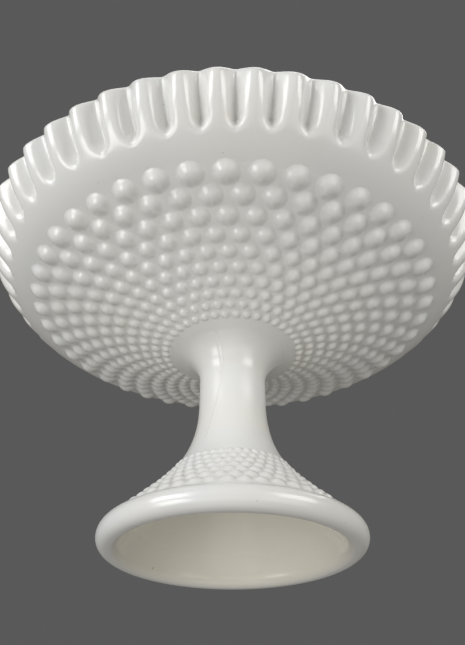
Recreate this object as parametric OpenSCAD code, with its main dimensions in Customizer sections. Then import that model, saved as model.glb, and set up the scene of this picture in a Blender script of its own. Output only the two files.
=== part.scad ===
// Footed cake stand in pressed milk glass: a wide shallow plate with a crimped rim,
// a waisted stem and a hollow flared foot, with round knobs under the plate and on the foot.
// Millimetres, +Z up. The origin is the centre of the ring that the foot stands on.

/* [Plate] */
// Radius where the smooth plate ends and the crimped rim begins
plate_r = 130; // [128:0.5:134]
// Height of the plate's underside at the edge of the collar
plate_z = 124.4; // [122:0.2:128]
// Slope of the underside at the edge of the collar
plate_slope = 0.334; // [0.3:0.002:0.36]
// How much the underside steepens outwards, in slope per millimetre
plate_bend = 0.0009; // [0.0006:0.0001:0.0016]
// Thickness of the glass, measured upwards
plate_t = 5.6; // [4.6:0.1:7]

/* [Crimped rim] */
// Number of crimps round the rim
crimp_count = 50; // [44:1:56]
// Radius of the rim at the crest of a crimp
crest_r = 159.4; // [157:0.2:162]
// Height of the rim at the crest of a crimp
crest_z = 190.4; // [186:0.2:194]
// How far the crimping tool pushed each groove, inwards and up
crimp_push = 7.8; // [4:0.2:9]
// Angle of that push above the horizontal, in degrees
crimp_push_angle = 46; // [35:1:60]
// Thickness of the rim
rim_t = 4.4; // [3.6:0.1:5]
// Turn of the first crest from the +X axis, in degrees
crimp_turn = 0.7; // [0:0.1:6]

/* [Knobs] */
// Knobs in each ring under the plate
plate_knob_count = 42; // [36:1:44]
// Rings of knobs under the plate
plate_knob_rings = 10; // [7:1:10]
// Radius of the outermost ring
plate_knob_r = 123.1; // [120:0.1:123.2]
// Turn of the plate's first knob from the +X axis, in degrees
plate_knob_turn = 2.6; // [0:0.2:8]
// Knobs in each ring on the foot
foot_knob_count = 45; // [38:1:46]
// Rings of knobs on the foot
foot_knob_rings = 7; // [4:1:7]
// Turn of the foot's first knob from the +X axis, in degrees
foot_knob_turn = 3.8; // [0:0.2:8]

/* [Stem] */
// Radius of the stem at its waist
stem_r = 19.8; // [17:0.1:21]
// Height of the waist
waist_z = 87.5; // [82:0.5:92]
// Radius of the smooth collar under the plate
collar_r = 38; // [36.5:0.5:39]
// Radius of the curve between the stem and the plate
collar_fillet = 19; // [16:0.5:20]

/* [Foot] */
// Radius of the circle that the middle of the foot's bead follows
bead_centre_r = 64.9; // [63:0.1:67]
// Radius of the bead's own round section
bead_r = 6.6; // [5.6:0.1:7]
// Height of the top of the hollow under the foot
hollow_z = 64; // [58:0.5:68]

/* [Hidden] */
milk_white = [0.93, 0.93, 0.91];
body_white = [0.9, 0.9, 0.88];
rim_white = [0.95, 0.95, 0.94];

// The bead stands on a narrow flat, this much above the bottom of its round section
bead_flat = 0.1;
bead_z = bead_r - bead_flat;
bead_flat_half = sqrt(bead_r * bead_r - bead_z * bead_z);
bead_lip_r = bead_centre_r - bead_flat_half;
lip_round = 2.6;

// Corners of the curve of the foot's outside, from the bead up to the waist
skirt_curve = [[bead_centre_r - 0.8, bead_z + bead_r], [bead_centre_r - 21.3, bead_z + 27.2],
               [stem_r, waist_z - 39.9], [stem_r, waist_z]];
// Corners of the curve of the hollow, from the bead up to its rounded top on the axis
hollow_start = [bead_centre_r - 4.6, bead_z + 2.3];
hollow_curve = [hollow_start, [bead_centre_r - 24.4, bead_z + 18.8],
                [12, hollow_z], [0, hollow_z]];
// Where the skirt is parted from the stem, along each of the two curves
skirt_part = 0.7;
hollow_part = 0.75;

// The collar's curve runs from the stem until it meets the plate
collar_end = collar_r - 5;
collar_sweep = acos(1 - (collar_end - stem_r) / collar_fillet);
collar_z = under_z(collar_end) - collar_fillet * sin(collar_sweep);

// Each knob's radius and height are shares of the spacing along its ring
plate_knob_share = 0.345;
plate_knob_rise = 0.17;
foot_knob_share = 0.47;
foot_knob_rise = 0.2;
knob_sink = 0.35;
// Gaps between the plate's rings, from the widest to the narrowest
plate_knob_gap_out = 11.45;
plate_knob_gap_in = 6.55;
// Place of the foot's lowest ring along the curve of the skirt, the step to the next ring,
// and how much each further step shrinks
foot_ring_first = 0.085;
foot_ring_step = 0.0874;
foot_ring_shrink = 0.0052;

function bezier(p, s) = pow(1 - s, 3) * p[0] + 3 * s * pow(1 - s, 2) * p[1]
    + 3 * s * s * (1 - s) * p[2] + pow(s, 3) * p[3];
function bezier_run(p, a, b, n) = [for (i = [0:n]) bezier(p, a + (b - a) * i / n)];
function backwards(list) = [for (i = [len(list) - 1:-1:0]) list[i]];
function smooth_step(a, b, x) = let (t = min(1, max(0, (x - a) / (b - a)))) t * t * (3 - 2 * t);

// Underside of the plate: a shallow bowl over the collar, then a steepening flare
function under_z(r) = r < collar_r
    ? plate_z - plate_slope * (collar_r * collar_r - r * r) / (2 * collar_r)
    : plate_z + plate_slope * (r - collar_r) + plate_bend / 2 * pow(r - collar_r, 2);
function under_angle(r) = atan(plate_slope + plate_bend * max(0, r - collar_r));
function under_run(a, b, n) = [for (i = [0:n]) let (r = a + (b - a) * i / n) [r, under_z(r)]];

// Joint between the plate and the rim, square across the glass
rim_start = [plate_r, under_z(plate_r)];
rim_start_angle = under_angle(plate_r);

// Crest of the crimps, along one arc from the edge of the plate to the rim
crest_chord = [crest_r, crest_z] - rim_start;
crest_chord_angle = atan2(crest_chord[1], crest_chord[0]);
crest_turn = 2 * (crest_chord_angle - rim_start_angle);
crest_radius = norm(crest_chord) / (2 * sin(crest_turn / 2));
function crest_angle(s) = rim_start_angle + crest_turn * s;
function crest_point(s) = rim_start
    + crest_radius * [sin(crest_angle(s)) - sin(rim_start_angle),
                      cos(rim_start_angle) - cos(crest_angle(s))];

// Depth of the push at share s of the way up the rim and at angle a round it
push_from = 0.18;
push_to = 0.52;
groove_narrow = 2.4;
function groove(a) = pow((1 - cos(crimp_count * a)) / 2, groove_narrow);
function pushed(s, a) = crimp_push * smooth_step(push_from, push_to, s) * groove(a);
push_way = [-cos(crimp_push_angle), sin(crimp_push_angle)];

// Section of the rim at angle a: up the underside, round the edge and down the top
rim_rows = [0, 0.22, 0.36, 0.52, 0.75, 1];
edge_turns = [45, 135];
function rim_under(s, a) = crest_point(s) + pushed(s, a) * push_way;
function rim_normal(s) = [-sin(crest_angle(s)), cos(crest_angle(s))];
function rim_top(s, a) = rim_under(s, a) + rim_t_at(s) * rim_normal(s);
function rim_t_at(s) = plate_t * cos(rim_start_angle) * (1 - s) + rim_t * s;
function rim_edge(t, a) = rim_under(1, a) + rim_t / 2 * rim_normal(1)
    + rim_t / 2 * [-cos(t) * rim_normal(1)[0] + sin(t) * rim_normal(1)[1],
                   -cos(t) * rim_normal(1)[1] - sin(t) * rim_normal(1)[0]];
function rim_section(a) = concat([for (s = rim_rows) rim_under(s, a)],
                                 [for (t = edge_turns) rim_edge(t, a)],
                                 [for (s = backwards(rim_rows)) rim_top(s, a)]);

module serving_plate() {
    color(body_white) rotate_extrude($fn = 180)
        polygon(concat(under_run(0, collar_r, 6), under_run(collar_r + 6, plate_r, 14),
                       [rim_start + plate_t * cos(rim_start_angle) * rim_normal(0)],
                       [for (p = backwards(under_run(collar_r + 6, plate_r - 4, 14)))
                           p + [0, plate_t]],
                       [for (p = backwards(under_run(0, collar_r, 6))) p + [0, plate_t]]));
}

module crimped_rim() {
    steps = crimp_count * 6;
    rows = len(rim_section(0));
    color(rim_white) rotate([0, 0, crimp_turn]) polyhedron(
        points = [for (k = [0:steps - 1], p = rim_section(360 * k / steps))
            [p[0] * cos(360 * k / steps), p[0] * sin(360 * k / steps), p[1]]],
        faces = [for (k = [0:steps - 1], j = [0:rows - 1], half = [0, 1])
            let (a = k * rows + j, b = k * rows + (j + 1) % rows,
                 c = ((k + 1) % steps) * rows + (j + 1) % rows, d = ((k + 1) % steps) * rows + j)
            half == 0 ? [a, b, c] : [a, c, d]]);
}

// A round knob standing on the XY plane, sunk a little into it
module knob(base_r, rise) {
    ball_r = (base_r * base_r + rise * rise) / (2 * rise);
    rotate_extrude($fn = 32) union() {
        translate([0, -knob_sink]) square([base_r, knob_sink]);
        intersection() {
            translate([0, rise - ball_r]) circle(r = ball_r, $fn = 96);
            square([base_r, rise]);
        }
    }
}

// One ring of knobs at radius r and height z, standing square to a surface that
// is tilted by the angle given; every second ring is turned by half a spacing
module knob_ring(count, r, z, tilt, share, rise, turn) {
    spacing = 2 * PI * r / count;
    for (k = [0:count - 1])
        rotate([0, 0, 360 * (k + turn) / count]) translate([r, 0, z]) rotate([0, tilt, 0])
            knob(share * spacing, rise * spacing);
}

module plate_hobnails() {
    gap_step = (plate_knob_gap_out - plate_knob_gap_in) / 8;
    color(milk_white) rotate([0, 0, plate_knob_turn]) for (i = [0:plate_knob_rings - 1]) {
        r = plate_knob_r - i * plate_knob_gap_out + gap_step * i * (i - 1) / 2;
        knob_ring(plate_knob_count, r, under_z(r), 180 - under_angle(r),
                  plate_knob_share, plate_knob_rise, (i % 2) / 2);
    }
}

// Flared ring that fills the corner between the stem and the underside of the plate
module collar() {
    color(milk_white) rotate_extrude($fn = 120)
        polygon(concat([for (i = [0:9]) let (a = collar_sweep * i / 9)
                           [stem_r + collar_fillet * (1 - cos(a)),
                            collar_z + collar_fillet * sin(a)]],
                       backwards(under_run(stem_r, collar_end, 5))));
}

module stem() {
    color(milk_white) rotate_extrude($fn = 120)
        polygon(concat(bezier_run(skirt_curve, skirt_part, 1, 8),
                       backwards(under_run(0, stem_r, 4)),
                       backwards(bezier_run(hollow_curve, hollow_part, 1, 6))));
}

module foot_skirt() {
    color(milk_white) rotate_extrude($fn = 120)
        polygon(concat(bezier_run(skirt_curve, 0, skirt_part, 14),
                       backwards(bezier_run(hollow_curve, 0, hollow_part, 14))));
}

module foot_hobnails() {
    color(milk_white) rotate([0, 0, foot_knob_turn]) for (i = [0:foot_knob_rings - 1]) {
        s = foot_ring_first + foot_ring_step * i - foot_ring_shrink * i * (i - 1) / 2;
        p = bezier(skirt_curve, s);
        ahead = bezier(skirt_curve, s + 0.01) - p;
        knob_ring(foot_knob_count, p[0], p[1], atan2(ahead[1], -ahead[0]),
                  foot_knob_share, foot_knob_rise, (i % 2) / 2);
    }
}

// Rounded bead that the stand rests on, with a narrow flat underneath
module foot_ring() {
    flat_angle = asin(bead_z / bead_r);
    color(rim_white) rotate_extrude($fn = 180)
        polygon(concat([for (i = [0:16]) let (a = -flat_angle + (90 + flat_angle) * i / 16)
                           [bead_centre_r + bead_r * cos(a), bead_z + bead_r * sin(a)]],
                       [skirt_curve[0], hollow_start],
                       [for (i = [0:4]) let (a = 180 + 90 * i / 4)
                           [bead_lip_r + lip_round * cos(a), lip_round * (1 + sin(a))]]));
}

serving_plate();
crimped_rim();
plate_hobnails();
collar();
stem();
foot_skirt();
foot_hobnails();
foot_ring();
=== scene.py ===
# %% [markdown]
# # A cake stand in milk glass
# The stand is one piece of opaque white pressed glass: a wide shallow plate with a crimped
# rim, round knobs underneath, a waisted stem and a hollow foot. The CAD model gives every
# size, so this lesson keeps to its frame and spends its effort on form and glass.

# %% Load the frame
import math
import random

import bmesh
import bpy
from mathutils import Matrix, Vector


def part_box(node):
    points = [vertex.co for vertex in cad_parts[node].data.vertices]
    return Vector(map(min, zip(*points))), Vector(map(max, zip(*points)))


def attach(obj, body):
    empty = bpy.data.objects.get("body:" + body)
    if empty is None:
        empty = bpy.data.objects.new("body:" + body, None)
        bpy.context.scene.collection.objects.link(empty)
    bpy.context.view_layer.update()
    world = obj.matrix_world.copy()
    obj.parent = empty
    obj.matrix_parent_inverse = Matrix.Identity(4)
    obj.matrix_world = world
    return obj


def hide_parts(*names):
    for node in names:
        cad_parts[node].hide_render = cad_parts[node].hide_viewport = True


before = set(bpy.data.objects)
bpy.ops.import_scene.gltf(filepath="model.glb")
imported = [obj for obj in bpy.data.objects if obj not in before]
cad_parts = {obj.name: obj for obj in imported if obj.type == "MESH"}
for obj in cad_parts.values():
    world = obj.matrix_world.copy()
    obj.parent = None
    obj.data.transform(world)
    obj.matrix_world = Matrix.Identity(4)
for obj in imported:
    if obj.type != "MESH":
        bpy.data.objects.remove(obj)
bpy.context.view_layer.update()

# %% [markdown]
# ## Sizes
# The shapes below are worked out in millimetres and scaled to metres once, when each mesh is
# finished. The bead is read from the frame, so it can't drift from the CAD; the rim's top is
# read from the frame too, but is only printed.

# %% Sizes read from the frame
MM = 0.001
bead_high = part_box("foot_ring")[1] / MM
rim_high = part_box("crimped_rim")[1] / MM
print("foot across:", round(2 * bead_high.x, 1), "mm; rim across:", round(2 * rim_high.x, 1), "mm")

# %% Sizes of the stem and the foot, in millimetres
BEAD_FLAT = 0.1
bead_r = (bead_high.z + BEAD_FLAT) / 2
bead_z = bead_r - BEAD_FLAT
BEAD_CENTRE_R = 64.9
STEM_R = 19.8
WAIST_Z = 87.5
HOLLOW_Z = 64.0

# %% Sizes of the plate and the rim, in millimetres
COLLAR_R = 38.0
COLLAR_FILLET = 19.0
PLATE_R = 130.0
PLATE_Z = 124.4
PLATE_SLOPE = 0.334
PLATE_BEND = 0.0009
PLATE_T = 5.6
RIM_T = 4.2
CREST = Vector((159.4, 190.4))

# %% [markdown]
# ## Outlines from curves
# A turned form is drawn as a half section and spun. Its long sweeps are Bezier curves, as a
# mould maker would draw them, so a handful of corners gives a line with no flats in it.

# %% Curve helpers
def bezier(corners, s):
    a, b, c, d = corners
    return a * (1 - s) ** 3 + b * 3 * s * (1 - s) ** 2 + c * 3 * s * s * (1 - s) + d * s ** 3


def bezier_run(corners, start, end, count):
    return [bezier(corners, start + (end - start) * i / count) for i in range(count + 1)]


def arc(centre, radius, start, end, count):
    turns = [math.radians(start + (end - start) * i / count) for i in range(count + 1)]
    return [centre + radius * Vector((math.cos(turn), math.sin(turn))) for turn in turns]


def smooth_step(low, high, x):
    t = min(1.0, max(0.0, (x - low) / (high - low)))
    return t * t * (3 - 2 * t)


skirt_curve = [Vector((BEAD_CENTRE_R - 0.8, bead_z + bead_r)),
               Vector((BEAD_CENTRE_R - 21.3, bead_z + 27.2)),
               Vector((STEM_R, WAIST_Z - 39.9)), Vector((STEM_R, WAIST_Z))]
LIP_TURN = 200
bead_centre = Vector((BEAD_CENTRE_R, bead_z))
hollow_curve = [arc(bead_centre, bead_r, LIP_TURN, 90, 1)[0],
                Vector((BEAD_CENTRE_R - 10.9, bead_z + 9.5)),
                Vector((12, HOLLOW_Z)), Vector((0, HOLLOW_Z))]
print("outside of the foot, half way up:", [round(v, 1) for v in bezier(skirt_curve, 0.5)])

# %% The underside of the plate
def under_z(r):
    if r < COLLAR_R:
        return PLATE_Z - PLATE_SLOPE * (COLLAR_R ** 2 - r * r) / (2 * COLLAR_R)
    return PLATE_Z + PLATE_SLOPE * (r - COLLAR_R) + PLATE_BEND / 2 * (r - COLLAR_R) ** 2


def under_angle(r):
    return math.atan(PLATE_SLOPE + PLATE_BEND * max(0.0, r - COLLAR_R))


def glass_t(r):
    return PLATE_T + (RIM_T / math.cos(under_angle(PLATE_R)) - PLATE_T) * smooth_step(95, PLATE_R, r)


def under_run(start, end, count):
    radii = [start + (end - start) * i / count for i in range(count + 1)]
    return [Vector((r, under_z(r))) for r in radii]


print("underside rises from", round(under_z(COLLAR_R), 1), "to", round(under_z(PLATE_R), 1), "mm")

# %% [markdown]
# ## From an outline to a piece
# bmesh.ops.spin turns an outline round the axis, and use_merge joins the last copy to the
# first. Faces are smooth, and only edges sharper than the crease angle stay crisp. Each
# piece is also painted with two numbers that the glass reads: painted light, a warm tint
# that stands in for light coming through the wall and for warm shade under the plate, and
# how far the surface was melted smooth again.

# %% Lathe and finishing helpers
pieces = []


def lathe(outline, steps, closed):
    bm = bmesh.new()
    chain = [bm.verts.new((point[0], 0, point[1])) for point in outline]
    pairs = list(zip(chain, chain[1:])) + ([(chain[-1], chain[0])] if closed else [])
    edges = [bm.edges.new(pair) for pair in pairs]
    bmesh.ops.spin(bm, geom=chain + edges, cent=(0, 0, 0), axis=(0, 0, 1),
                   angle=2 * math.pi, steps=steps, use_merge=True, use_duplicate=False)
    bmesh.ops.remove_doubles(bm, verts=bm.verts, dist=1e-4)
    bmesh.ops.recalc_face_normals(bm, faces=bm.faces)
    return bm


def outer_r(z):
    if z < bead_z + bead_r:
        return BEAD_CENTRE_R + math.sqrt(max(0.0, bead_r ** 2 - (z - bead_z) ** 2))
    low, high = 0.0, 1.0
    for _ in range(24):
        middle = (low + high) / 2
        low, high = (middle, high) if bezier(skirt_curve, middle).y < z else (low, middle)
    return bezier(skirt_curve, low).x


# Painted light and shade: a warm tint inside the foot's hollow stands in for light coming through the wall,
# and a weaker one under the plate, growing towards the collar, stands in for warm shade; elsewhere the tint
# is a faint 0.1.
def painted_light_warmth(r, z):
    if z < HOLLOW_Z:
        inside = smooth_step(1.5, 4.5, outer_r(z) - r)
        return inside * smooth_step(BEAD_CENTRE_R + 2, BEAD_CENTRE_R - bead_r, r)
    if r > STEM_R and z < under_z(r) + PLATE_T / 2:
        return 0.3 * smooth_step(PLATE_R, COLLAR_R, r)
    return 0.1


def polish(r, z):
    return max(smooth_step(PLATE_R - 12, PLATE_R + 8, r), smooth_step(18, 10, z))


def paint(bm):
    # The first layer holds the painted light and shade, the second the polish.
    painted_light_layer = bm.verts.layers.float.new("painted_light_warmth")
    shine = bm.verts.layers.float.new("polish")
    for vert in bm.verts:
        r, z = vert.co.xy.length, vert.co.z
        vert[painted_light_layer] = painted_light_warmth(r, z)
        vert[shine] = polish(r, z)


def to_piece(bm, name, node, crease=38):
    for face in bm.faces:
        face.smooth = True
    for edge in bm.edges:
        if edge.is_manifold and edge.calc_face_angle() > math.radians(crease):
            edge.smooth = False
    paint(bm)
    bmesh.ops.scale(bm, vec=(MM, MM, MM), verts=bm.verts)
    mesh = bpy.data.meshes.new(name)
    loose = sum(1 for edge in bm.edges if not edge.is_manifold)
    print(name, len(bm.faces), "faces,", loose, "open edges")
    bm.to_mesh(mesh)
    bm.free()
    piece = bpy.data.objects.new(name, mesh)
    bpy.context.scene.collection.objects.link(piece)
    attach(piece, "root")
    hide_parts(node)
    pieces.append(piece)
    return piece


# %% [markdown]
# ## The foot's bead
# The stand rests on a thick rounded bead, fire-polished until no edge is left on it. Its
# section is one arc, worn to a narrow flat below, that rolls straight on into the hollow.

# %% Foot bead
bead_outline = [Vector((point.x, max(0, point.y)))
                for point in arc(bead_centre, bead_r, LIP_TURN - 360, 90, 44)]
bead_outline += [skirt_curve[0]]
foot_bead = to_piece(lathe(bead_outline, 256, closed=True), "foot_bead", "foot_ring")

# %% [markdown]
# ## The flared foot
# The skirt is a wall between two curves, the outside of the mould and the plunger that
# pressed the hollow. It is parted from the stem along a line that both pieces share.

# %% Flared foot
SKIRT_PART = 0.7
HOLLOW_PART = 0.75
skirt_outline = bezier_run(skirt_curve, 0, SKIRT_PART, 40)
skirt_outline += reversed(bezier_run(hollow_curve, 0, HOLLOW_PART, 32))
flared_foot = to_piece(lathe(skirt_outline, 256, closed=True), "flared_foot", "foot_skirt")

# %% [markdown]
# ## The stem, and the seam that the mould left
# Where the parts of a mould meet, glass creeps a hair's breadth into the joint and leaves a
# fine raised line. It wanders here, because the stem twisted a little while it was hot.
# Towards the plate it parts into two lines. They are real geometry: vertices near them are
# lifted by a fraction of a millimetre.

# %% Mould seam helper
SEAM_LIFT = 0.28
SEAM_HALF = 0.34
SEAM_COUNT = 3
SEAM_SPLIT = 1.1


def seam_turn(z):
    return math.radians(-109 - 15 * smooth_step(104, 62, z))


def raise_seams(bm):
    moved = 0
    for vert in bm.verts:
        radius = vert.co.xy.length
        if radius < STEM_R - 1:
            continue
        turn = math.atan2(vert.co.y, vert.co.x) - seam_turn(vert.co.z)
        spacing = 2 * math.pi / SEAM_COUNT
        off = ((turn + spacing / 2) % spacing - spacing / 2) * radius
        split = SEAM_SPLIT * smooth_step(95, 116, vert.co.z)
        lift = SEAM_LIFT * max(math.exp(-((off + side * split) / SEAM_HALF) ** 2) for side in (-1, 1))
        if lift > 0.01:
            vert.co.xy *= 1 + lift / radius
            moved += 1
    print("seam lifts", moved, "vertices")


# %% Stem
stem_outline = list(reversed(bezier_run(hollow_curve, HOLLOW_PART, 1, 10)))
stem_outline += bezier_run(skirt_curve, SKIRT_PART, 1, 24)
stem_outline += [Vector((STEM_R, WAIST_Z + 3 * i)) for i in range(1, 11)]
stem_outline += reversed(under_run(0, STEM_R, 6))
stem_skin = lathe(stem_outline, 720, closed=False)
raise_seams(stem_skin)
waisted_stem = to_piece(stem_skin, "waisted_stem", "stem")

# %% [markdown]
# ## The collar
# Under the plate the stem opens out in one easy curve, and it ends level with the glass
# round it, so light runs from the stem to the plate with no edge between them.

# %% Collar
collar_end = COLLAR_R - 5
collar_sweep = math.degrees(math.acos(1 - (collar_end - STEM_R) / COLLAR_FILLET))
collar_z = under_z(collar_end) - COLLAR_FILLET * math.sin(math.radians(collar_sweep))
collar_outline = arc(Vector((STEM_R + COLLAR_FILLET, collar_z)), COLLAR_FILLET,
                     180, 180 - collar_sweep, 24)
collar_outline += reversed(under_run(STEM_R, collar_end, 6)[:-1])
collar_skin = lathe(collar_outline, 720, closed=True)
raise_seams(collar_skin)
collar_flare = to_piece(collar_skin, "collar_flare", "collar")

# %% [markdown]
# ## The plate
# The plate is a shallow bowl that steepens outwards. Its top follows the underside, but the
# glass thins towards the edge, where the soft plate was drawn out. It ends square across the
# wall, where the crimped rim goes on from it.

# %% Plate
rim_start = Vector((PLATE_R, under_z(PLATE_R)))
start_angle = under_angle(PLATE_R)
start_normal = Vector((-math.sin(start_angle), math.cos(start_angle)))
plate_outline = under_run(0, PLATE_R, 52)
plate_outline += [rim_start + RIM_T * start_normal]
plate_outline += [point + Vector((0, glass_t(point.x))) for point in reversed(under_run(0, PLATE_R - 4, 48))]
pressed_plate = to_piece(lathe(plate_outline, 336, closed=False), "pressed_plate", "serving_plate")

# %% [markdown]
# ## The crimped rim
# After pressing, the soft edge was drawn through a crimping tool, which pushed a narrow
# groove in and up between each two broad lobes. So the rim starts as a plain wall with a
# round edge, spun all the way round, and the push is then a move of its vertices along one
# slanted line. Across the rim, a groove is narrow where it starts and opens towards the
# edge. The hand that turned the plate wasn't a machine, so grooves drift a little.

# %% Arc of the wall
chord = CREST - rim_start
rim_turn = 2 * (math.atan2(chord.y, chord.x) - start_angle)
rim_arc_r = chord.length / (2 * math.sin(rim_turn / 2))
rim_arc_centre = rim_start + rim_arc_r * start_normal
end_angle = start_angle + rim_turn


def rim_normal(s):
    angle = start_angle + rim_turn * s
    return Vector((-math.sin(angle), math.cos(angle)))


def rim_point(s):
    return rim_arc_centre - rim_arc_r * rim_normal(s)


print("rim turns up by", round(math.degrees(rim_turn), 1), "degrees")

# %% The push of the crimping tool
CRIMPS = 50
CRIMP_TURN = math.radians(-92.9)
PUSH = 7.8
PUSH_WAY = Vector((-math.cos(math.radians(46)), math.sin(math.radians(46))))
GROOVE_START = 0.31
GROOVE_ROUND = 0.03
GROOVE_RISE = 0.17
GROOVE_BOTTOM = 0.3
GROOVE_NARROW = 1.9
GROOVE_OPEN = 0.9


def hand_drift(turn):
    return 0.1 * math.sin(3 * turn + 1.3) + 0.12 * math.sin(7 * turn) + 0.1 * math.sin(13 * turn + 2)


def groove_depth(s, turn):
    phase = CRIMPS * (turn - CRIMP_TURN) + hand_drift(turn)
    narrow = GROOVE_NARROW - GROOVE_OPEN * smooth_step(GROOVE_START, 1, s)
    lobe = math.hypot(math.cos(phase / 2), GROOVE_BOTTOM)
    lobe_top = math.hypot(1, GROOVE_BOTTOM)
    across = ((lobe_top - lobe) / (lobe_top - GROOVE_BOTTOM)) ** narrow
    start = GROOVE_START + GROOVE_ROUND * (1 - across) + 0.02 * math.sin(5 * turn + 0.7)
    strength = 1 + 0.06 * math.sin(4 * turn + 2.2) + 0.05 * math.sin(9 * turn)
    return PUSH * strength * across * smooth_step(start, start + GROOVE_RISE, s)


print("deepest push", round(max(groove_depth(1, i * 0.01) for i in range(628)), 2), "mm")

# %% Rim
RIM_ROWS = 26
RIM_STEPS = 20
shares = [i / RIM_ROWS for i in range(RIM_ROWS + 1)]
edge_turn = math.degrees(end_angle)
rim_outline = [rim_point(s) for s in shares]
rim_outline += arc(rim_point(1) + RIM_T / 2 * rim_normal(1), RIM_T / 2,
                   edge_turn - 90, edge_turn + 90, 8)[1:-1]
rim_outline += [rim_point(s) + RIM_T * rim_normal(s) for s in reversed(shares)]
rim_skin = lathe(rim_outline, CRIMPS * RIM_STEPS, closed=True)
for vert in rim_skin.verts:
    flat = Vector((vert.co.xy.length, vert.co.z))
    out = flat - rim_arc_centre
    s = min(1, (math.atan2(out.x, -out.y) - start_angle) / rim_turn)
    move = groove_depth(s, math.atan2(vert.co.y, vert.co.x)) * PUSH_WAY
    vert.co.xy *= (flat.x + move.x) / flat.x
    vert.co.z += move.y
crimped_edge = to_piece(rim_skin, "crimped_edge", "crimped_rim")

# %% [markdown]
# ## Knobs
# Each knob is a round cap with a soft fillet at its base, where the mould was cut with a
# worn tool. One is spun from a short outline with a base radius of 1. It is then copied,
# sized and stood square to the glass at every place, and the pattern knob is deleted.
# No two cuts in a mould are quite alike, so a seeded draw varies size, height and place.

# %% Knob helpers
KNOB_SIDES = 12
KNOB_FLARE = 1.32
KNOB_SINK = 0.04
SIZE_CHANGE = 0.018
PLACE_CHANGE = 0.012
draw = random.Random(42)


def pattern_knob(rise):
    ball = (1 + rise * rise) / (2 * rise)
    half = math.acos(1 - rise / ball)
    outline = [(KNOB_FLARE, -KNOB_SINK), (1.06, 0.05 * rise)]
    outline += [(ball * math.sin(half * share), rise - ball * (1 - math.cos(half * share)))
                for share in (0.8, 0.56, 0.3, 0)]
    bm = lathe(outline, KNOB_SIDES, closed=False)
    rim = [edge for edge in bm.edges if edge.is_boundary]
    bmesh.ops.contextual_create(bm, geom=rim)
    bmesh.ops.recalc_face_normals(bm, faces=bm.faces)
    return bm


def set_knobs(rise, rings):
    bm = pattern_knob(rise)
    pattern = bm.verts[:] + bm.edges[:] + bm.faces[:]
    for count, place, normal, base, turn in rings:
        lean = math.atan2(normal[0], normal[1])
        for i in range(count):
            copy = bmesh.ops.duplicate(bm, geom=pattern)
            verts = [item for item in copy["geom"] if isinstance(item, bmesh.types.BMVert)]
            size = base * (1 + draw.gauss(0, SIZE_CHANGE))
            height = size * (1 + draw.gauss(0, 2 * SIZE_CHANGE))
            shift = Vector((draw.gauss(0, PLACE_CHANGE), draw.gauss(0, PLACE_CHANGE), 0)) * base
            spot = (Matrix.Rotation(turn + 2 * math.pi * i / count, 4, "Z")
                    @ Matrix.Translation((place[0], 0, place[1]))
                    @ Matrix.Rotation(lean, 4, "Y") @ Matrix.Translation(shift)
                    @ Matrix.Diagonal((size, size, height, 1)))
            bmesh.ops.transform(bm, matrix=spot, verts=verts)
    bmesh.ops.delete(bm, geom=pattern, context="VERTS")
    return bm


# %% Knobs under the plate
PLATE_KNOBS = 42
PLATE_KNOB_R = 123.1
PLATE_KNOB_RINGS = 10
PLATE_KNOB_TURN = math.radians(2.64)
PLATE_SHARE = 0.345
PLATE_SHARE_STEP = 0.0085
PLATE_RISE = 0.185
GAP_OUT = 11.45
GAP_IN = 6.55
gap_step = (GAP_OUT - GAP_IN) / 8

plate_rings = []
for i in range(PLATE_KNOB_RINGS):
    r = PLATE_KNOB_R - i * GAP_OUT + gap_step * i * (i - 1) / 2
    pitch = 2 * math.pi * r / PLATE_KNOBS
    normal = (math.sin(under_angle(r)), -math.cos(under_angle(r)))
    turn = PLATE_KNOB_TURN + (i % 2) * math.pi / PLATE_KNOBS
    share = PLATE_SHARE + PLATE_SHARE_STEP * i
    plate_rings.append((PLATE_KNOBS, (r, under_z(r)), normal, share * pitch, turn))
plate_knobs = to_piece(set_knobs(PLATE_RISE / PLATE_SHARE, plate_rings), "plate_knobs",
                       "plate_hobnails", crease=80)

# %% Knobs on the foot
FOOT_KNOBS = 45
FOOT_KNOB_RINGS = 7
FOOT_KNOB_TURN = math.radians(3.7)
FOOT_SHARE = 0.43
FOOT_RISE = 0.185

foot_rings = []
for i in range(FOOT_KNOB_RINGS):
    s = 0.085 + 0.0874 * i - 0.0026 * i * (i - 1)
    place = bezier(skirt_curve, s)
    ahead = (bezier(skirt_curve, s + 0.01) - bezier(skirt_curve, s - 0.01)).normalized()
    pitch = 2 * math.pi * place.x / FOOT_KNOBS
    turn = FOOT_KNOB_TURN + (i % 2) * math.pi / FOOT_KNOBS
    foot_rings.append((FOOT_KNOBS, place, (ahead.y, -ahead.x), FOOT_SHARE * pitch, turn))
foot_knobs = to_piece(set_knobs(FOOT_RISE / FOOT_SHARE, foot_rings), "foot_knobs",
                      "foot_hobnails", crease=80)

# %% [markdown]
# ## Milk glass
# Opal glass is white because it is full of crystals too small to see. It isn't one flat
# white: the melt leaves cloudy drifts, and thin swirls that were drawn out round the axis.
# Here and there sits a seed, which is a tiny trapped bubble, or a rust-coloured stain. The
# colour is a node group, so that its parts can be tried alone. Its warm tint is painted
# light and shade: it stands in for light that reaches the eye through the wall, which lets
# yellow pass better than blue, and for warm shade under the plate.

# %% Node helpers
def new_group(name, inputs, outputs):
    group = bpy.data.node_groups.new(name, "ShaderNodeTree")
    for label, value in inputs:
        socket = group.interface.new_socket(label, in_out="INPUT", socket_type="NodeSocketFloat")
        socket.default_value = value
    for label, kind in outputs:
        group.interface.new_socket(label, in_out="OUTPUT", socket_type=kind)
    return group, group.nodes.new("NodeGroupInput"), group.nodes.new("NodeGroupOutput")


def plug(tree, value, socket):
    if isinstance(value, bpy.types.NodeSocket):
        tree.links.new(value, socket)
    else:
        socket.default_value = value


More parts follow.
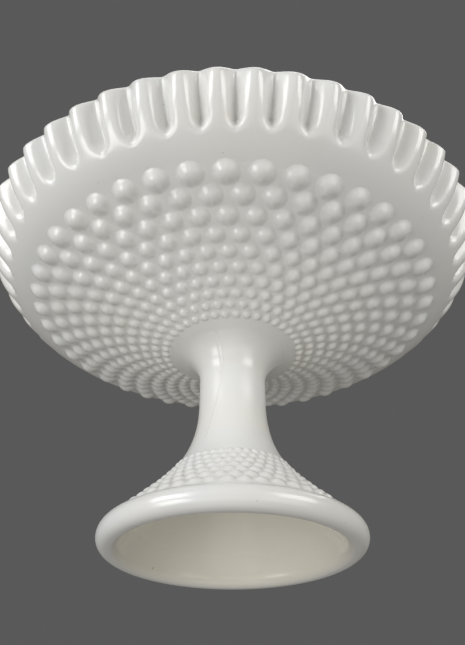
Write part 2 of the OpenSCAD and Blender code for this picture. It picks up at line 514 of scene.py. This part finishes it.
def math_node(tree, operation, first, second):
    node = tree.nodes.new("ShaderNodeMath")
    node.operation = operation
    plug(tree, first, node.inputs[0])
    plug(tree, second, node.inputs[1])
    return node.outputs["Value"]


def ramp(tree, value, low, high, out_low=0.0, out_high=1.0):
    node = tree.nodes.new("ShaderNodeMapRange")
    node.interpolation_type = "SMOOTHSTEP"
    plug(tree, value, node.inputs["Value"])
    for name, number in (("From Min", low), ("From Max", high), ("To Min", out_low),
                         ("To Max", out_high)):
        plug(tree, number, node.inputs[name])
    return node.outputs["Result"]


def noise(tree, scale, detail, stretch=(1, 1, 1)):
    place = tree.nodes.new("ShaderNodeTexCoord")
    mapping = tree.nodes.new("ShaderNodeMapping")
    mapping.inputs["Scale"].default_value = stretch
    texture = tree.nodes.new("ShaderNodeTexNoise")
    texture.inputs["Scale"].default_value = scale
    texture.inputs["Detail"].default_value = detail
    tree.links.new(place.outputs["Object"], mapping.inputs["Vector"])
    tree.links.new(mapping.outputs["Vector"], texture.inputs["Vector"])
    return texture.outputs["Fac"]


def spots(tree, scale, size):
    place = tree.nodes.new("ShaderNodeTexCoord")
    cells = tree.nodes.new("ShaderNodeTexVoronoi")
    cells.inputs["Scale"].default_value = scale
    tree.links.new(place.outputs["Object"], cells.inputs["Vector"])
    return ramp(tree, cells.outputs["Distance"], size, size * 0.4)


def blend(tree, factor, first, second):
    node = tree.nodes.new("ShaderNodeMix")
    node.data_type = "RGBA"
    plug(tree, factor, node.inputs["Factor"])
    plug(tree, first, node.inputs["A"])
    plug(tree, second, node.inputs["B"])
    return node.outputs["Result"]


print("node helpers ready")

# %% Colour of the glass
opal, opal_in, opal_out = new_group(
    "opal_colour", [("Painted_Light", 0.0), ("Cloud", 0.5), ("Seeds", 0.5)],
    [("Color", "NodeSocketColor")])
COOL_WHITE = (0.845, 0.855, 0.86, 1)
SOFT_WHITE = (0.86, 0.85, 0.825, 1)
# Painted light and shade: a warm white that stands in for light through the wall and for warm shade under
# the plate.
PAINTED_LIGHT_WHITE = (0.9, 0.87, 0.785, 1)
SEED_GREY = (0.45, 0.43, 0.38, 1)
STAIN_RUST = (0.58, 0.36, 0.16, 1)
drift = noise(opal, 11, 3)
swirl = noise(opal, 26, 4, (1, 1, 3.2))
cloud = ramp(opal, math_node(opal, "ADD", math_node(opal, "MULTIPLY", drift, 0.65),
                             math_node(opal, "MULTIPLY", swirl, 0.35)), 0.38, 0.62)
cloud = math_node(opal, "MULTIPLY", cloud, opal_in.outputs["Cloud"])
white = blend(opal, cloud, COOL_WHITE, SOFT_WHITE)
# Painted light and shade: the painted number warms the white.
white = blend(opal, opal_in.outputs["Painted_Light"], white, PAINTED_LIGHT_WHITE)
seeds = math_node(opal, "MULTIPLY", spots(opal, 95, 0.045), opal_in.outputs["Seeds"])
white = blend(opal, seeds, white, SEED_GREY)
stains = math_node(opal, "MULTIPLY", spots(opal, 31, 0.032), ramp(opal, noise(opal, 19, 1), 0.58, 0.7))
white = blend(opal, math_node(opal, "MULTIPLY", stains, opal_in.outputs["Seeds"]), white, STAIN_RUST)
opal.links.new(white, opal_out.inputs["Color"])
print("opal colour:", len(opal.nodes), "nodes")

# %% [markdown]
# The skin comes from the mould. Molten glass chills against iron and keeps faint ripples and
# a slight orange peel, so reflections wobble. Where the piece was fire-polished, at the rim
# and on the bead, the skin melted again and is smoother, and the painted polish says where.
# The cloudy body spreads its gleam, and the clear skin over it keeps a tighter one, so the
# material has a wide highlight and a Coat with a crisper highlight on top.

# %% Skin of the glass
skin, skin_in, skin_out = new_group(
    "pressed_skin", [("Polish", 0.0), ("Ripple", 0.5), ("Pits", 0.5)],
    [("Height", "NodeSocketFloat"), ("Roughness", "NodeSocketFloat")])
rough_moulded, rough_polished = 0.28, 0.2
ripple = noise(skin, 55, 2, (1, 1, 1.6))
peel = noise(skin, 330, 2)
pits = math_node(skin, "MULTIPLY", spots(skin, 240, 0.09), skin_in.outputs["Pits"])
calm = ramp(skin, skin_in.outputs["Polish"], 0, 1, 1, 0.35)
height = math_node(skin, "ADD", math_node(skin, "MULTIPLY", ripple, 0.8),
                   math_node(skin, "MULTIPLY", peel, 0.12))
height = math_node(skin, "MULTIPLY", math_node(skin, "MULTIPLY", height, calm),
                   skin_in.outputs["Ripple"])
height = math_node(skin, "SUBTRACT", height, math_node(skin, "MULTIPLY", pits, 0.1))
skin.links.new(height, skin_out.inputs["Height"])
rough = ramp(skin, skin_in.outputs["Polish"], 0, 1, rough_moulded, rough_polished)
smear = ramp(skin, noise(skin, 38, 4), 0.4, 0.75, 0, 0.05)
skin.links.new(math_node(skin, "ADD", math_node(skin, "ADD", rough, smear),
                         math_node(skin, "MULTIPLY", pits, 0.2)), skin_out.inputs["Roughness"])
print("skin:", len(skin.nodes), "nodes")

# %% One material for the whole casting
glass = bpy.data.materials.new("milk_glass")
glass.use_nodes = True
tree = glass.node_tree
shader = tree.nodes["Principled BSDF"]
shader.inputs["IOR"].default_value = 1.52
shader.inputs["Coat Weight"].default_value = 0.6
shader.inputs["Coat Roughness"].default_value = 0.2


def read_attribute(name):
    node = tree.nodes.new("ShaderNodeAttribute")
    node.attribute_name = name
    return node.outputs["Fac"]


def use_group(group, values):
    node = tree.nodes.new("ShaderNodeGroup")
    node.node_tree = group
    for name, value in values.items():
        plug(tree, value, node.inputs[name])
    return node


# The warm tint read here is painted light and shade.
colour = use_group(opal, {"Painted_Light": read_attribute("painted_light_warmth"), "Cloud": 0.8, "Seeds": 0.6})
surface = use_group(skin, {"Polish": read_attribute("polish"), "Ripple": 1.0, "Pits": 0.5})
bump = tree.nodes.new("ShaderNodeBump")
bump.inputs["Strength"].default_value = 0.5
bump.inputs["Distance"].default_value = 0.0006
tree.links.new(colour.outputs["Color"], shader.inputs["Base Color"])
tree.links.new(surface.outputs["Roughness"], shader.inputs["Roughness"])
tree.links.new(surface.outputs["Height"], bump.inputs["Height"])
tree.links.new(bump.outputs["Normal"], shader.inputs["Normal"])
tree.links.new(bump.outputs["Normal"], shader.inputs["Coat Normal"])
for piece in pieces:
    piece.data.materials.append(glass)
print("glass on", len(pieces), "pieces")

# %% [markdown]
# ## Stage, light and camera
# A pale floor, two bright soft windows on the left and two weaker ones on the right, a
# little fill from the front, from below and overhead, and a weak even room light. The
# camera looks up from below the foot, so the floor is see-through from underneath, and it
# neither shades the object, nor lights it, nor shows in its gloss.

# %% Floor
FLOOR_R = 5
floor_bm = bmesh.new()
bmesh.ops.create_circle(floor_bm, cap_ends=True, segments=96, radius=FLOOR_R)
floor_mesh = bpy.data.meshes.new("floor")
floor_bm.to_mesh(floor_mesh)
floor_bm.free()
floor = bpy.data.objects.new("floor", floor_mesh)
bpy.context.scene.collection.objects.link(floor)
floor.visible_shadow = False
floor.visible_glossy = False
floor.visible_diffuse = False

floor_paint = bpy.data.materials.new("pale_floor")
floor_paint.use_nodes = True
floor_tree = floor_paint.node_tree
floor_shader = floor_tree.nodes["Principled BSDF"]
floor_shader.inputs["Base Color"].default_value = (0.8, 0.8, 0.79, 1)
floor_shader.inputs["Roughness"].default_value = 0.7
see_through = floor_tree.nodes.new("ShaderNodeBsdfTransparent")
side = floor_tree.nodes.new("ShaderNodeNewGeometry")
both = floor_tree.nodes.new("ShaderNodeMixShader")
floor_tree.links.new(side.outputs["Backfacing"], both.inputs["Fac"])
floor_tree.links.new(floor_shader.outputs["BSDF"], both.inputs[1])
floor_tree.links.new(see_through.outputs["BSDF"], both.inputs[2])
floor_tree.links.new(both.outputs["Shader"], floor_tree.nodes["Material Output"].inputs["Surface"])
floor.data.materials.append(floor_paint)
print("floor radius", FLOOR_R, "m")

# %% Room light and backdrop
ROOM = (0.165, 0.16, 0.145, 1)
BACKDROP = (0.1, 0.1, 0.1, 1)
world = bpy.data.worlds.new("studio")
bpy.context.scene.world = world
world.use_nodes = True
room = world.node_tree.nodes["Background"]
room.inputs["Color"].default_value = ROOM
backdrop = world.node_tree.nodes.new("ShaderNodeBackground")
backdrop.inputs["Color"].default_value = BACKDROP
ray = world.node_tree.nodes.new("ShaderNodeLightPath")
choice = world.node_tree.nodes.new("ShaderNodeMixShader")
world.node_tree.links.new(ray.outputs["Is Camera Ray"], choice.inputs["Fac"])
world.node_tree.links.new(room.outputs["Background"], choice.inputs[1])
world.node_tree.links.new(backdrop.outputs["Background"], choice.inputs[2])
world.node_tree.links.new(choice.outputs["Shader"],
                          world.node_tree.nodes["World Output"].inputs["Surface"])
print("room light", ROOM[:3])

# %% Windows
def add_window(name, way, distance, size, radiance, tint):
    light = bpy.data.lights.new(name, "AREA")
    light.shape = "RECTANGLE"
    light.size, light.size_y = size
    light.energy = radiance * math.pi * size[0] * size[1]
    light.color = tint
    lamp = bpy.data.objects.new(name, light)
    lamp.location = Vector((0, 0, 0.12)) + distance * Vector(way).normalized()
    lamp.rotation_mode = "QUATERNION"
    lamp.rotation_quaternion = Vector(way).to_track_quat("Z", "Y")
    lamp.visible_camera = False
    bpy.context.scene.collection.objects.link(lamp)
    print(name, "at", [round(value, 2) for value in lamp.location], round(light.energy, 1), "W")


add_window("left_low", (-0.69, -0.62, -0.38), 1.25, (0.55, 0.55), 4.4, (1.0, 0.995, 0.985))
add_window("left_high", (-0.75, -0.62, 0.25), 1.4, (0.8, 0.7), 4.6, (0.98, 0.99, 1.0))
add_window("front_low", (-0.15, -0.85, -0.5), 1.3, (0.9, 0.7), 0.5, (1.0, 0.99, 0.97))
add_window("right_low", (0.62, -0.7, -0.35), 1.4, (0.9, 0.8), 1.0, (1.0, 0.98, 0.95))
add_window("right_high", (0.75, -0.6, 0.25), 1.4, (0.8, 0.7), 4.1, (1.0, 0.99, 0.97))
add_window("below", (0, -0.3, -1), 1.3, (1.0, 1.0), 0.42, (1.0, 0.97, 0.92))
add_window("overhead", (0.25, 0.2, 1.0), 1.4, (1.4, 1.4), 1.9, (1.0, 1.0, 1.0))

# %% Camera
camera_data = bpy.data.cameras.new("camera")
camera = bpy.data.objects.new("camera", camera_data)
bpy.context.scene.collection.objects.link(camera)
bpy.context.scene.camera = camera
camera_data.lens = 37.98
camera_data.sensor_width = 36
camera.location = (-0.0006, -0.35947, -0.10801)
camera.rotation_mode = "XYZ"
camera.rotation_euler = (math.radians(90 + 35.67), 0, math.radians(-0.09))
bpy.context.scene.view_settings.view_transform = "Standard"
print("camera looks up by", round(math.degrees(camera.rotation_euler.x) - 90, 2), "degrees")
